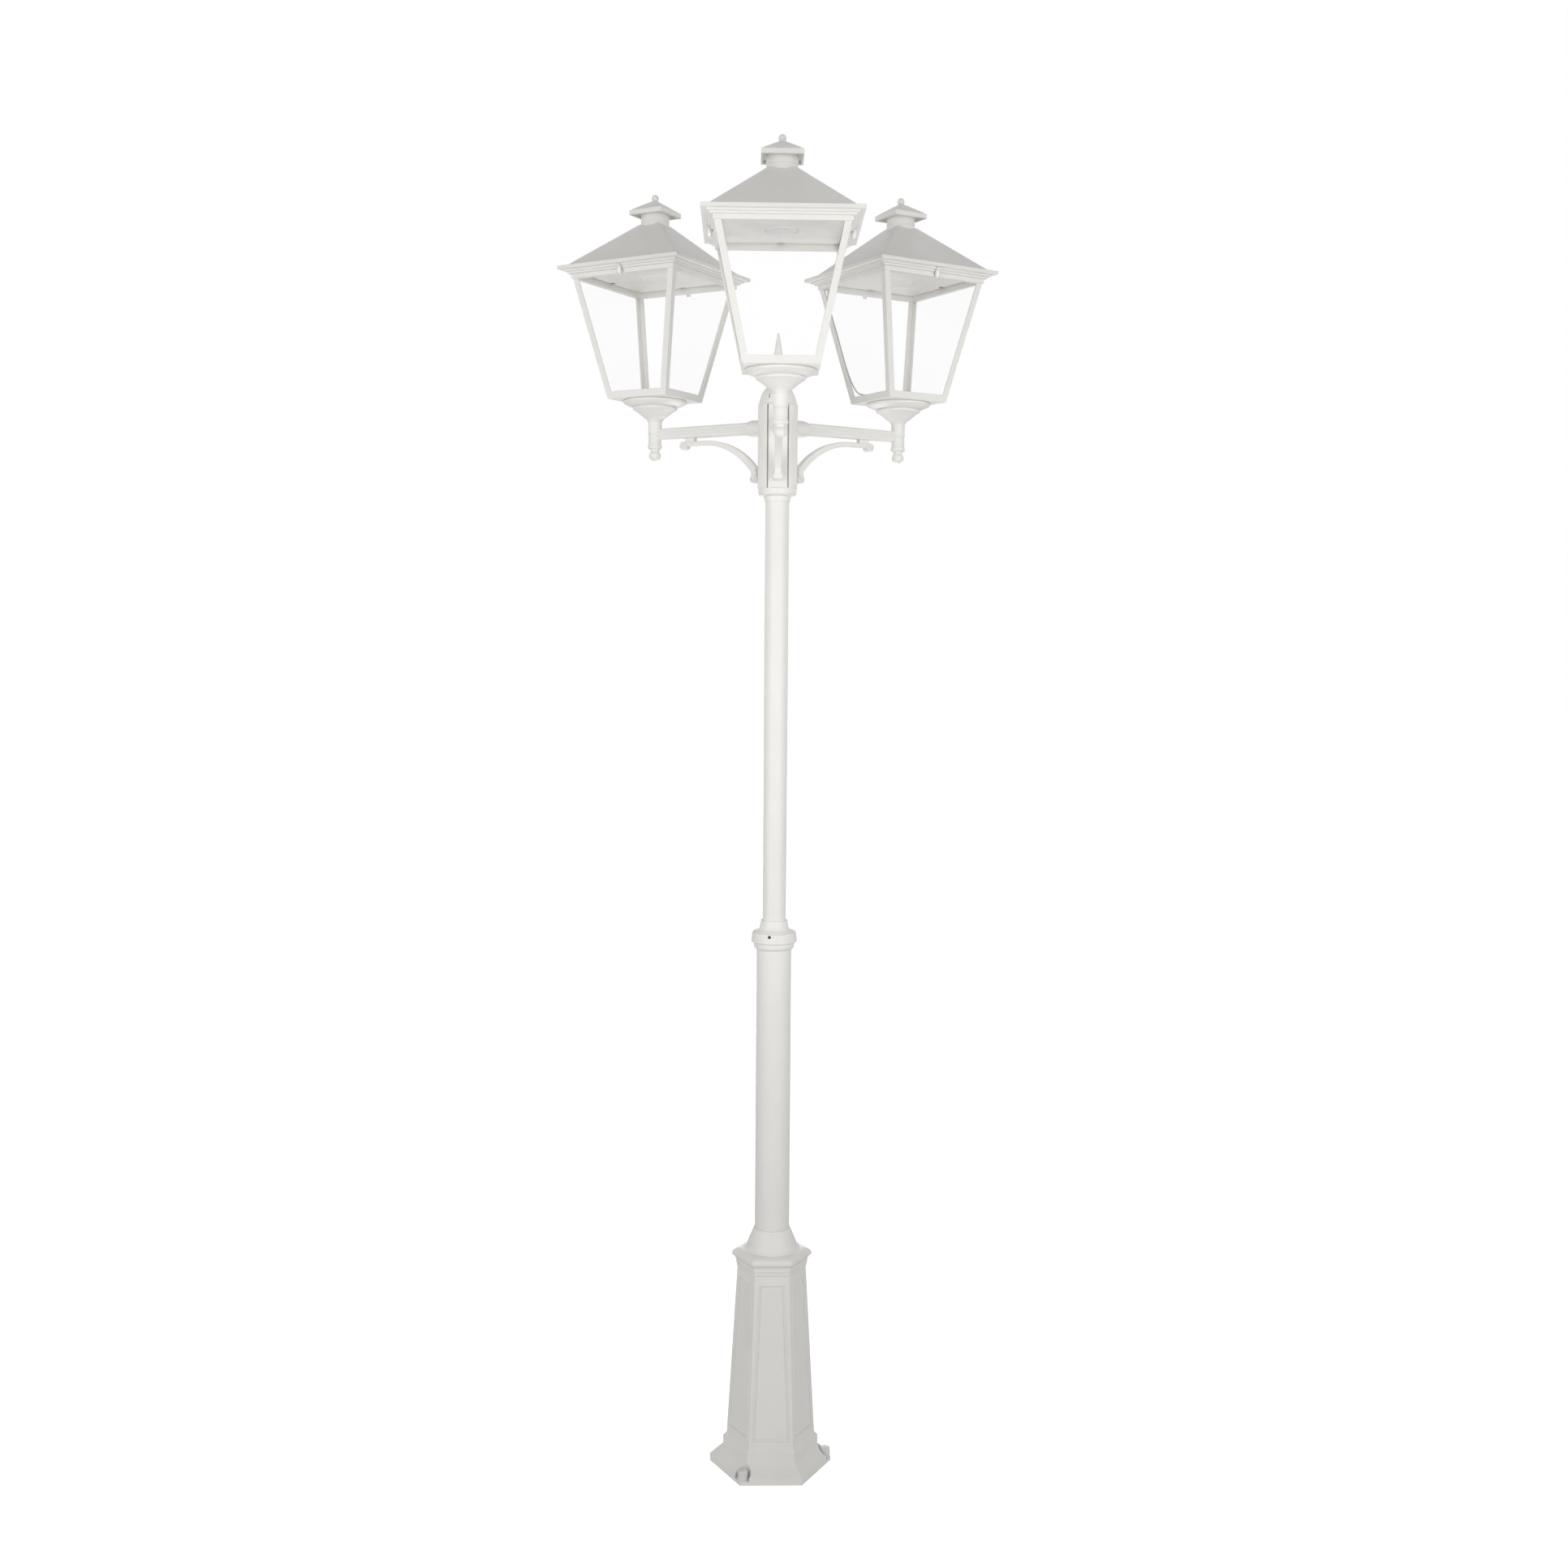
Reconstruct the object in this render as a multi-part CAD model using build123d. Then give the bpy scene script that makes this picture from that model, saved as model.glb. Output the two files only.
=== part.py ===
from build123d import *
import math
import os

# Triple head lamp post, in millimetres, +Z up, origin on the pole's axis at the ground.
# Its three arms stand 120 degrees apart, the first one over -Y.

# ---- arms and their order round the pole ----
arm_angles = {"front": -90.0, "right": 30.0, "left": 150.0}

# ---- pedestal: a hexagonal casting, flat face over -Y, a corner over +X ----
foot_radius = 160.0            # axis to a corner of the foot
foot_edge_height = 20.0        # upright edge of the foot
foot_slope_height = 25.0       # sloping top of the foot
plinth_radius = 125.0          # upright band above the foot
plinth_height = 26.0
plinth_chamfer_height = 8.0
body_bottom_radius = 115.8     # tapered body, axis to a corner
body_top_radius = 89.5
body_height = 452.5
moulding_height = 9.5          # each of the two thin steps above the body
moulding_step = 2.0
cavetto_height = 10.5          # hollow moulding under the crown
crown_radius = 104.0           # rounded hexagonal crown above the mouldings
crown_height = 19.5
crown_top_inset = 22.0         # crown's top edge inside its widest corner
bell_sink = 2.5                # bell's foot below the crown's top
bell_foot_radius = 76.0
bell_knee_radius = 62.5
bell_knee_height = 22.0
bell_lip = 1.4                 # bell's thin top edge round the tube
bell_height = 59.0
casting_wall = 6.0
panel_margin_bottom = 25.7     # panel inside its bead, above the plinth's chamfer
panel_margin_top = 28.3
panel_margin_low = 14.5        # panel to the body's corner, at the foot and at the head
panel_margin_high = 18.0
panel_bead_width = 6.5
panel_bead_height = 2.0
panel_bead_slope = 40.0        # degrees that the bead's sides lean
panel_recess = 1.2
tube_socket_depth = 200.0      # lower tube inside the pedestal
socket_stop_height = 8.0
socket_wall = 6.0
socket_stop_bore_radius = 36.0
socket_rib_count = 3
socket_rib_thickness = 8.0
socket_rib_height = 110.0

# ---- anchor points at three corners of the foot ----
anchor_count = 3
anchor_circle_radius = 145.0
anchor_hole_radius = 6.5
anchor_ledge = 10.0            # foot flange under each nut
anchor_pocket_radius = 20.5
nut_across_flats = 18.0
nut_height = 10.8
nut_thread_radius = 5.1
cap_radius = 13.0
cap_height = 27.0
cap_wall = 1.6
cap_dome = 5.0

# ---- pole ----
lower_tube_radius = 45.0
lower_tube_wall = 4.0
lower_tube_reveal = 736.5      # pedestal top to collar
upper_tube_radius = 30.0
upper_tube_wall = 3.5
upper_tube_reveal = 1066.0     # collar top to hub
slip_clearance = 0.3           # radial, tube in its socket

# ---- collar between the tubes ----
collar_sleeve_radius = 52.5
collar_sleeve_foot_radius = 46.8
collar_sleeve_height = 18.5
collar_ring_top_radius = 57.0
collar_ring_radius = 59.5
collar_ring_height = 27.0
collar_bead_radius = 48.7
collar_bead_height = 3.0
collar_neck_radius = 44.6
collar_waist_radius = 36.8
collar_waist_height = 17.0
collar_cone_top_radius = 34.5
collar_cone_height = 29.5
collar_screw_count = 3
collar_screw_angle = -103.0
collar_screw_share = 0.72      # up the ring's height
collar_screw_radius = 4.0
collar_screw_key_radius = 2.0
collar_screw_key_depth = 4.0
collar_screw_sink = 2.0

# ---- hub ----
hub_sleeve_bottom_radius = 32.0
hub_sleeve_top_radius = 34.0
hub_sleeve_height = 14.0
hub_ring_radius = 48.0
hub_ring_height = 18.0
hub_ring_round = 8.0
hub_radius = 50.0
hub_height = 206.0
hub_socket_depth = 90.0        # upper tube inside the hub
hub_wire_bore_radius = 20.0
flute_count = 3                # flutes in each sector between two arm plates
flute_pitch = 13.0             # degrees
flute_radius = 2.6
plate_width = 48.0             # flat plate of each arm, set in the hub's channel
plate_thickness = 8.0
plate_face = 42.5              # plate's outer face to the pole's axis
plate_side_gap = 3.2           # the dark gap at each side of the plate
tongue_width = 18.0            # dovetail tongue on the plate's back
tongue_flare = 2.5
tongue_depth = 6.0
tongue_clearance = 0.25
plate_top_gap = 0.3

# ---- cap and spike on the hub ----
cap_ring_radius = 50.0
cap_cove_radius = 47.2
cap_ring_height = 15.0
dome_radius = 45.0
dome_height = 31.0
dome_top_radius = 27.0
dome_wall = 5.0
dome_slot_width = 3.0
dome_slot_height = 12.0
dome_slot_angle = 30.0         # each side of an arm
spike_base_radius = 25.5
spike_tip_radius = 2.2
spike_height = 135.0
spike_collar_height = 5.0
spike_stud_radius = 6.0
spike_stud_length = 14.0

# ---- arms ----
arm_reach = 368.0              # pole axis to lantern axis
arm_axis_height = 185.5        # above the hub's lower end
arm_root_height = 31.0
arm_root_width = 25.0
arm_tip_height = 27.5
arm_tip_width = 22.0
arm_edge_round = 6.0
arm_groove_width = 4.0
arm_groove_depth = 1.6
arm_groove_spacing = 9.0
arm_wire_bore_radius = 6.5
arm_collar_radius = 20.7
arm_collar_length = 32.0
arm_second_collar_radius = 18.7
arm_second_collar_length = 8.0
pipe_radius = 16.9             # upright pipe that carries the lantern
pipe_head_radius = 17.9        # its thicker upper end
pipe_wall = 3.2
pipe_above_axis = 32.0
pipe_below_axis = 37.5
pipe_groove_depth = 0.9
pipe_groove_width = 3.5
pipe_groove_drop = 31.0        # below the pipe's top
pipe_line_drop = 54.0          # thin turned line further down
pipe_line_width = 1.2
pipe_line_depth = 0.6
pipe_bulge_radius = 18.8
pipe_bulge_height = 10.0

# ---- ball finial under each pipe ----
finial_neck_radius = 12.5
finial_neck_height = 5.0
finial_ball_radius = 15.6
finial_ball_squash = 0.86
finial_plug_length = 14.0

# ---- scroll brace under each arm ----
brace_width = 18.0
brace_bevel = 3.0
brace_crest = 215.0            # pole axis to the arc's highest point
brace_drop = 29.0              # arm axis down to the bar's middle line at the crest
brace_arc_radius = 187.0
brace_root_thickness = 19.0
brace_tip_thickness = 11.0
brace_root_angle = 53.0        # degrees back from the crest
brace_tip_run = 60.0           # past the crest, towards the lantern
outer_scroll_radius = 10.5
inner_scroll_radius = 10.5
scroll_width = 24.0            # scrolls stand proud of the bar on both sides
scroll_edge = 1.6
scroll_eye_radius = 5.6        # turned groove round a button in each scroll's end
scroll_button_radius = 3.2
scroll_eye_depth = 1.4
scroll_proud = 0.6             # outer scroll above the bar's top edge
inner_scroll_out = 64.0
inner_scroll_drop = 126.5      # arm axis to the lower scroll's centre
brace_boss_size = 13.0
brace_block_start = 243.0
brace_block_length = 29.0
brace_block_width = 14.0

# ---- cup under each lantern: heights above the pipe's top ----
cup_neck_radius = 18.3
cup_cone_radius = 30.5
cup_cone_height = 12.5
cup_bowl_radius = 43.5
cup_bowl_height = 23.4
cup_waist_radius = 54.5
cup_waist_height = 31.0
cup_lower_bead_radius = 58.0
cup_lower_bead_height = 6.5
cup_ogee_height = 9.5
cup_ogee_radius = 69.0
cup_upper_bead_radius = 83.0
cup_upper_bead_height = 8.0
cup_spigot_length = 30.0
spigot_clearance = 0.25
cup_wire_bore_radius = 7.0

# ---- lantern frame ----
tray_half = 88.7
tray_height = 18.0
tray_edge_round = 2.5
post_foot_half = 92.5          # outer face of the corner posts on the tray
post_height = 281.5
post_leg = 16.0
post_thickness = 3.0
rail_half = 155.0
post_head_inset = 3.3          # corner posts inside the rail's outer face
rail_width = 15.0
rail_height = 21.0
ear_width = 11.0               # lug for the roof screw
ear_height = 5.0
ear_drop = 0.6                 # below the rail's top
ear_overhang = 8.0             # past the screw's axis
latch_overhang = 9.0           # screw's axis outside the rail
pane_thickness = 3.0
pane_clearance = 0.4

# ---- roof ----
tier_count = 2
tier_height = 5.0
tier_step = 6.7
tier_clearance = 0.5
tier_edge = 1.2                # bevel under each tier and under the lip
lip_overhang = 26.0            # past the rail
lip_height = 8.5
lip_skin = 1.5                 # lip's metal over the thumb screws' threads
lip_seat = 3.0                 # lip resting on the rail, inside its outer edge
notch_width = 13.0
notch_floor_gap = 4.0          # behind the screw, outside the rail
roof_foot_inset = 14.5         # slope's foot inside the lip's edge
roof_slope = 0.86              # rise for each millimetre inwards
roof_top_half = 30.0
roof_wall = 5.5                # measured upright
boss_inset = 25.0              # inside the ceiling plate's edge
boss_radius = 5.0
boss_screw_radius = 2.0
vent_pad_radius = 42.0
vent_pad_depth = 18.0
vent_bore_radius = 29.0

# ---- vent collar and vent cap ----
vent_radius = 36.5
vent_wall = 4.5
vent_seat_drop = 13.0          # seat below the roof's flat top
vent_height = 48.6
vent_joint_height = 20.0
vent_joint_depth = 0.8
vent_cap_half = 48.5
vent_cap_fascia = 11.5
vent_cap_wall = 5.0
vent_cap_hollow = 7.0          # open underside inside the fascia
vent_cap_socket = 12.0
vent_step_half = 45.0          # bevelled step on the fascia
vent_step_top_half = 42.5
vent_step_height = 3.5
vent_pyramid_top_half = 6.0
vent_pyramid_height = 23.5
vent_ball_radius = 9.0
vent_ball_sink = 1.6           # ball's lowest point below the pyramid's flat
vent_cap_round = 1.6

# ---- ceiling plate and light ----
ceiling_gap = 3.0              # dark line between the plate and the rail
ceiling_thickness = 2.0
ceiling_recess = 13.0          # underside above the rail's underside
ceiling_slot_length = 17.0
ceiling_slot_depth = 10.0
ceiling_corner_cut = 12.0
light_opening_radius = 34.0
bezel_radius = 39.0
bezel_window_radius = 35.6
bezel_height = 3.2
lens_flange_radius = 37.4
lens_flange_height = 1.6
lens_depth = 2.6
light_clearance = 0.3
heat_sink_radius = 42.0
heat_sink_base = 5.0
heat_sink_height = 22.0
heat_sink_fins = 6
heat_sink_gap = 8.0
light_board_drop = 1.4         # board reaching down into the plate's opening
driver_length = 100.0
driver_width = 44.0
driver_height = 24.0
driver_offset = 74.0
driver_round = 3.0

# ---- thumb screws ----
latch_head_radius = 5.8
latch_head_height = 20.5
latch_head_gap = 0.3
latch_shank_radius = 2.5
latch_shank_clearance = 0.25
latch_shank_height = 12.0
latch_knurl_count = 8
latch_knurl_radius = 0.9

# ---- cable up one corner post of each lantern ----
cable_radius = 2.2
cable_hole_clearance = 0.4
cable_post_offset = 10.0       # cable's middle inside the post's outer faces
cable_top_rise = 6.0           # cable's end above the ceiling plate's underside

# ---- heights worked out from the values above ----
plinth_z = foot_edge_height + foot_slope_height
body_z = plinth_z + plinth_height + plinth_chamfer_height
moulding_z = body_z + body_height
cavetto_z = moulding_z + 2 * moulding_height
crown_z = cavetto_z + cavetto_height
shoulder_z = crown_z + crown_height
bell_z = shoulder_z - bell_sink
pedestal_top_z = bell_z + bell_height
collar_z = pedestal_top_z + lower_tube_reveal
collar_ring_z = collar_z + collar_sleeve_height
collar_cone_z = collar_ring_z + collar_ring_height
hub_z = collar_cone_z + collar_cone_height + upper_tube_reveal
hub_ring_z = hub_z + hub_sleeve_height
hub_body_z = hub_ring_z + hub_ring_height
hub_top_z = hub_body_z + hub_height
dome_z = hub_top_z + cap_ring_height
arm_z = hub_z + arm_axis_height
pipe_top_z = arm_z + pipe_above_axis
pipe_bottom_z = arm_z - pipe_below_axis

# Lantern widths follow the rail, and its heights are measured from the top of its pipe.
post_head_half = rail_half - post_head_inset
latch_offset = rail_half + latch_overhang
lip_half = rail_half + lip_overhang
roof_foot_half = lip_half - roof_foot_inset
notch_floor_half = rail_half + notch_floor_gap
ceiling_half = rail_half - rail_width - ceiling_gap
boss_offset = ceiling_half - boss_inset
cup_bead_z = cup_waist_height + cup_lower_bead_height + cup_ogee_height
tray_z = cup_bead_z + cup_upper_bead_height
tray_top_z = tray_z + tray_height
rail_z = tray_top_z + post_height
rail_top_z = rail_z + rail_height
roof_z = rail_top_z + lip_height
roof_top_z = roof_z + (roof_foot_half - roof_top_half) * roof_slope
ceiling_z = rail_z + ceiling_recess
ceiling_top_z = ceiling_z + ceiling_thickness
ear_top_z = rail_top_z - ear_drop
vent_seat_z = roof_top_z - vent_seat_drop
vent_top_z = vent_seat_z + vent_height
vent_cap_z = vent_top_z - vent_cap_socket

pole_flat = 0.4                # tiny flat where a turned dome meets its own axis
FROM_BELOW = (Align.CENTER, Align.CENTER, Align.MIN)
FROM_LEFT = (Align.MIN, Align.CENTER, Align.CENTER)


# ---- helpers ----
def profile(start, *steps):
    """Face in the XZ plane from (radius, height) points; a pair of points is an arc."""
    edges = []
    here = start
    for step in steps:
        if isinstance(step[0], tuple):
            edges.append(ThreePointArc(here, step[0], step[1]))
            here = step[1]
        else:
            edges.append(Line(here, step))
            here = step
    edges.append(Line(here, start))
    return Plane.XZ * make_face(edges)


def turned(start, *steps):
    """Solid turned about the Z axis from the same points as profile."""
    return revolve(profile(start, *steps), Axis.Z)


def rod(radius, z_low, z_high):
    return Pos(0, 0, z_low) * Cylinder(radius, z_high - z_low, align=FROM_BELOW)


def tube(radius, bore_radius, z_low, z_high):
    return rod(radius, z_low, z_high) - rod(bore_radius, z_low, z_high)


def slab(half, z_low, z_high):
    return Pos(0, 0, z_low) * Box(2 * half, 2 * half, z_high - z_low, align=FROM_BELOW)


def square_ring(outer_half, inner_half, z_low, z_high):
    return slab(outer_half, z_low, z_high) - slab(inner_half, z_low, z_high)


def eased_ring(outer_half, inner_half, z_low, z_high):
    """Square ring with a small bevel under its outer edge."""
    ring = square_taper(outer_half - tier_edge, outer_half, z_low, z_low + tier_edge)
    ring += slab(outer_half, z_low + tier_edge, z_high)
    return ring - slab(inner_half, z_low - 1, z_high + 1)


def square_taper(low_half, high_half, z_low, z_high):
    """Square pyramid cut off flat, from one half width to another."""
    low = Pos(0, 0, z_low) * Rectangle(2 * low_half, 2 * low_half)
    high = Pos(0, 0, z_high) * Rectangle(2 * high_half, 2 * high_half)
    return loft([low, high], ruled=True)


def hexagon(radius, z, corner=0.0):
    """Hexagon with a corner over +X, its corners rounded on request."""
    shape = RegularPolygon(radius, 6)
    if corner > 0:
        shape = fillet(shape.vertices(), corner)
    return Pos(0, 0, z) * shape


def hex_stack(levels):
    """Hexagonal solid through (height, radius) levels with flat sides."""
    solid = None
    for (z_low, r_low), (z_high, r_high) in zip(levels, levels[1:]):
        part = loft([hexagon(r_low, z_low), hexagon(r_high, z_high)], ruled=True)
        solid = part if solid is None else solid + part
    return solid


def around(shape, count, start=0.0):
    """The same shape at equal steps round the Z axis."""
    return [Rot(0, 0, start + 360.0 / count * i) * shape for i in range(count)]


def lying(shape):
    """Turns a shape from along +Z to along +X."""
    return Rot(0, 90, 0) * shape


# ---- pedestal ----
def pedestal_outside():
    levels = [
        (0, foot_radius),
        (foot_edge_height, foot_radius),
        (plinth_z, plinth_radius),
        (plinth_z + plinth_height, plinth_radius),
        (body_z, body_bottom_radius),
        (moulding_z, body_top_radius)]
    solid = hex_stack(levels)
    for i in range(2):
        z = moulding_z + i * moulding_height
        radius = body_top_radius + (i + 1) * moulding_step
        solid += hex_stack([(z, radius), (z + moulding_height, radius + 0.4)])
    cavetto_foot = body_top_radius + 2 * moulding_step + 0.7
    reach = crown_radius - 1.5 - cavetto_foot
    hollow = [(cavetto_z + cavetto_height * rise, cavetto_foot + reach * out)
              for rise, out in ((0, 0), (0.35, 0.14), (0.7, 0.5), (1, 1))]
    roll = [(crown_z + crown_height * rise, crown_radius - crown_top_inset * inset)
            for rise, inset in ((0, 0.05), (0.1, 0), (0.36, 0), (0.59, 0.09), (0.77, 0.27),
                                (0.92, 0.59), (1, 1))]
    return solid + hex_stack(hollow) + hex_stack(roll) + pedestal_bell()


def pedestal_bell():
    top_radius = lower_tube_radius + slip_clearance + bell_lip
    knee_z = bell_z + bell_knee_height
    bend = (bell_foot_radius * 0.35 + bell_knee_radius * 0.65, bell_z + bell_knee_height * 0.42)
    return turned(
        (0, bell_z), (bell_foot_radius, bell_z), (bend, (bell_knee_radius, knee_z)),
        (top_radius, pedestal_top_z), (0, pedestal_top_z))


def panel_outline(grow, depth_low, depth_high, lean=0.0):
    """Tapered panel on the -Y face, between two depths along the face's normal.
    A lean narrows it outwards, and a negative one widens it."""
    tilt_run = (body_bottom_radius - body_top_radius) * math.cos(math.radians(30))
    tilt = math.degrees(math.atan(tilt_run / body_height))
    apothem = body_bottom_radius * math.cos(math.radians(30))
    low_half = body_bottom_radius / 2 - panel_margin_low + grow
    high_half = body_top_radius / 2 - panel_margin_high + grow
    low = panel_margin_bottom - grow
    high = body_height / math.cos(math.radians(tilt)) - panel_margin_top + grow
    outline = Polyline((-low_half, low), (low_half, low), (high_half, high), (-high_half, high), close=True)
    face = Plane(origin=(0, -apothem, body_z), x_dir=(1, 0, 0), z_dir=(0, -1, 0))
    sheet = face * Rot(-tilt, 0, 0) * Pos(0, 0, depth_low) * make_face(outline)
    return extrude(sheet, depth_high - depth_low, taper=lean)


def panel_bead():
    outer = panel_outline(panel_bead_width, 0, panel_bead_height, panel_bead_slope)
    outer += panel_outline(panel_bead_width, -1.0, 0)
    inner = panel_outline(0, 0, panel_bead_height + 1.0, -panel_bead_slope)
    return outer - inner - panel_outline(0, -2.0, 0.1)


def tube_socket():
    """Sleeve inside the pedestal that holds the lower tube, with its stop and ribs."""
    low = pedestal_top_z - tube_socket_depth - socket_stop_height
    outer = lower_tube_radius + slip_clearance + socket_wall
    sleeve = rod(outer, low, bell_z)
    rib_low = crown_z - socket_rib_height
    reach = (body_top_radius - casting_wall) * math.cos(math.radians(30)) + 1.0
    rib = Pos(0, 0, rib_low) * Box(
        reach, socket_rib_thickness, crown_z - rib_low, align=(Align.MIN, Align.CENTER, Align.MIN))
    for part in around(rib, socket_rib_count, 30):
        sleeve += part
    return sleeve


def base_pedestal():
    shell = pedestal_outside()
    for bead in around(panel_bead(), 6):
        shell += bead
    for recess in around(panel_outline(0, -panel_recess, panel_bead_height + 1.0), 6):
        shell -= recess
    wall = casting_wall / math.cos(math.radians(30))
    hollow = hex_stack([
        (0, plinth_radius - wall),
        (plinth_z + plinth_height - casting_wall, plinth_radius - wall),
        (body_z, body_bottom_radius - panel_recess - wall),
        (moulding_z, body_top_radius - panel_recess - wall),
        (shoulder_z - casting_wall, body_top_radius - panel_recess - wall)])
    shell -= hollow
    shell += tube_socket()
    bore = lower_tube_radius + slip_clearance
    shell -= rod(bore, pedestal_top_z - tube_socket_depth, pedestal_top_z + 1)
    shell -= rod(socket_stop_bore_radius, body_z, pedestal_top_z)
    pocket = Pos(anchor_circle_radius, 0, 0) * rod(anchor_pocket_radius, anchor_ledge, body_z)
    hole = Pos(anchor_circle_radius, 0, 0) * rod(anchor_hole_radius, -1, anchor_ledge + 1)
    for cut in around(pocket, anchor_count) + around(hole, anchor_count):
        shell -= cut
    return shell


def anchor_nut():
    nut = extrude(RegularPolygon(nut_across_flats / 2, 6, major_radius=False), nut_height)
    top = nut.edges().group_by(Axis.Z)[-1]
    nut = chamfer(top, 0.8) - rod(nut_thread_radius, -1, nut_height + 1)
    return Pos(anchor_circle_radius, 0, anchor_ledge) * nut


def anchor_cap():
    rim = cap_height - cap_dome
    shoulder = cap_radius * 0.8
    inner = cap_radius - cap_wall
    cap = turned(
        (inner, 0), (cap_radius, 0), (cap_radius, rim),
        ((cap_radius * 0.95, rim + cap_dome * 0.45), (shoulder, cap_height - 1.2)),
        ((shoulder / 2, cap_height - 0.3), (pole_flat, cap_height)),
        (0, cap_height), (0, cap_height - 2 * cap_wall), (inner * 0.85, rim), (inner, rim - 2))
    return Pos(anchor_circle_radius, 0, anchor_ledge) * cap


# ---- pole ----
def lower_tube():
    foot = pedestal_top_z - tube_socket_depth
    return tube(lower_tube_radius, lower_tube_radius - lower_tube_wall, foot, collar_ring_z)


def upper_tube():
    foot = collar_ring_z
    return tube(upper_tube_radius, upper_tube_radius - upper_tube_wall, foot, hub_z + hub_socket_depth)


def collar():
    cone_top = collar_cone_z + collar_cone_height
    waist_z = cone_top - collar_waist_height
    bead_top = collar_cone_z + collar_bead_height
    round_foot = ((collar_sleeve_radius - 1.6, collar_z + 4), (collar_sleeve_radius, collar_z + 9))
    body = turned(
        (0, collar_z), (collar_sleeve_foot_radius, collar_z), round_foot,
        (collar_sleeve_radius, collar_ring_z - 1),
        (collar_ring_radius - 2, collar_ring_z), (collar_ring_radius, collar_ring_z + 2),
        (collar_ring_top_radius, collar_cone_z - 3), (collar_ring_top_radius - 3, collar_cone_z),
        (collar_bead_radius, collar_cone_z),
        ((collar_bead_radius - 0.6, bead_top - 0.6), (collar_bead_radius - 2, bead_top)),
        (collar_neck_radius, bead_top),
        ((collar_waist_radius + 1.6, waist_z - 3), (collar_waist_radius, waist_z + 4)),
        (collar_cone_top_radius, cone_top), (0, cone_top))
    body -= rod(lower_tube_radius + slip_clearance, collar_z - 1, collar_ring_z)
    body -= rod(upper_tube_radius + slip_clearance, collar_ring_z, cone_top + 1)
    thread = collar_screw_hole()
    for cut in around(thread, collar_screw_count, collar_screw_angle):
        body -= cut
    return body


def collar_screw_z():
    return collar_ring_z + collar_ring_height * collar_screw_share


def collar_screw_hole():
    start = upper_tube_radius
    length = collar_ring_radius - start + 1
    return Pos(start, 0, collar_screw_z()) * lying(Cylinder(collar_screw_radius, length, align=FROM_BELOW))


def collar_screws():
    outer = collar_ring_radius - collar_screw_sink
    inner = upper_tube_radius + slip_clearance / 2
    screw = Pos(inner, 0, collar_screw_z()) * lying(
        Cylinder(collar_screw_radius, outer - inner, align=FROM_BELOW))
    key = Pos(outer - collar_screw_key_depth, 0, collar_screw_z()) * lying(
        extrude(RegularPolygon(collar_screw_key_radius, 6), collar_screw_key_depth + 1))
    return Compound(children=around(screw - key, collar_screw_count, collar_screw_angle))


# ---- hub ----
def plate_bottom_z():
    return hub_body_z


def tongue_face(clearance):
    """Dovetail section on the back of an arm plate, arm along +X."""
    back = plate_face - plate_thickness
    near = tongue_width / 2 + clearance
    far = tongue_width / 2 + tongue_flare + clearance
    deep = back - tongue_depth - clearance
    return make_face(Polyline((back + 1, -near), (back + 1, near), (back, near), (deep, far),
                              (deep, -far), (back, -near), close=True))


def tongue_bottom_z():
    return hub_z + hub_socket_depth + 6.0


def hub_body():
    body = rod(hub_radius, hub_body_z, hub_top_z)
    body += turned(
        (0, hub_z), (hub_sleeve_bottom_radius, hub_z), (hub_sleeve_top_radius, hub_ring_z),
        (hub_ring_radius - hub_ring_round, hub_ring_z),
        ((hub_ring_radius - 2.3, hub_ring_z + 2.3), (hub_ring_radius, hub_ring_z + hub_ring_round)),
        (hub_ring_radius, hub_body_z), (0, hub_body_z))
    channel_half = plate_width / 2 + plate_side_gap
    floor = plate_face - plate_thickness
    channel = Pos(floor, 0, hub_body_z) * Box(
        hub_radius, 2 * channel_half, hub_height + 1, align=(Align.MIN, Align.CENTER, Align.MIN))
    slot_z = tongue_bottom_z()
    slot = Pos(0, 0, slot_z) * extrude(tongue_face(tongue_clearance), hub_top_z + 1 - slot_z)
    wire = Pos(hub_wire_bore_radius - 5, 0, arm_z) * lying(
        Cylinder(arm_wire_bore_radius, floor, align=FROM_BELOW))
    for angle in arm_angles.values():
        for cut in (channel, slot, wire):
            body -= Rot(0, 0, angle) * cut
        for i in range(flute_count):
            turn = angle + 60 + (i - (flute_count - 1) / 2) * flute_pitch
            body -= Rot(0, 0, turn) * Pos(hub_radius + 0.6, 0, 0) * rod(flute_radius, hub_body_z + 3, hub_top_z + 1)
    body -= rod(upper_tube_radius + slip_clearance, hub_z - 1, hub_z + hub_socket_depth)
    body -= rod(hub_wire_bore_radius, hub_z, hub_top_z + 1)
    return body


def hub_cap():
    z = hub_top_z
    cove = (cap_cove_radius + 0.5, z + 0.3 * cap_ring_height)
    dome_top = dome_z + dome_height
    cap = turned(
        (hub_wire_bore_radius, z), (cap_ring_radius, z), (cap_ring_radius, z + 2.5),
        (cove, (cap_cove_radius, z + 0.55 * cap_ring_height)),
        (cap_cove_radius, z + 0.7 * cap_ring_height), (dome_radius + 1, z + 0.75 * cap_ring_height),
        (dome_radius + 1, dome_z), (dome_radius, dome_z),
        ((dome_radius * 0.87, dome_z + dome_height * 0.55), (dome_top_radius, dome_top)),
        (0, dome_top), (0, dome_top - 2 * dome_wall),
        ((hub_wire_bore_radius, dome_z + dome_height * 0.5), (dome_radius - dome_wall - 6, dome_z)),
        (hub_wire_bore_radius + 6, z + dome_wall))
    cut_slot = Pos(dome_radius - 6, 0, dome_z + 1) * Box(
        20, dome_slot_width, dome_slot_height, align=(Align.MIN, Align.CENTER, Align.MIN))
    for angle in arm_angles.values():
        for side in (-1, 1):
            cap -= Rot(0, 0, angle + side * dome_slot_angle) * cut_slot
    return cap - rod(spike_stud_radius, dome_top - spike_stud_length, dome_top + 1)


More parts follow.
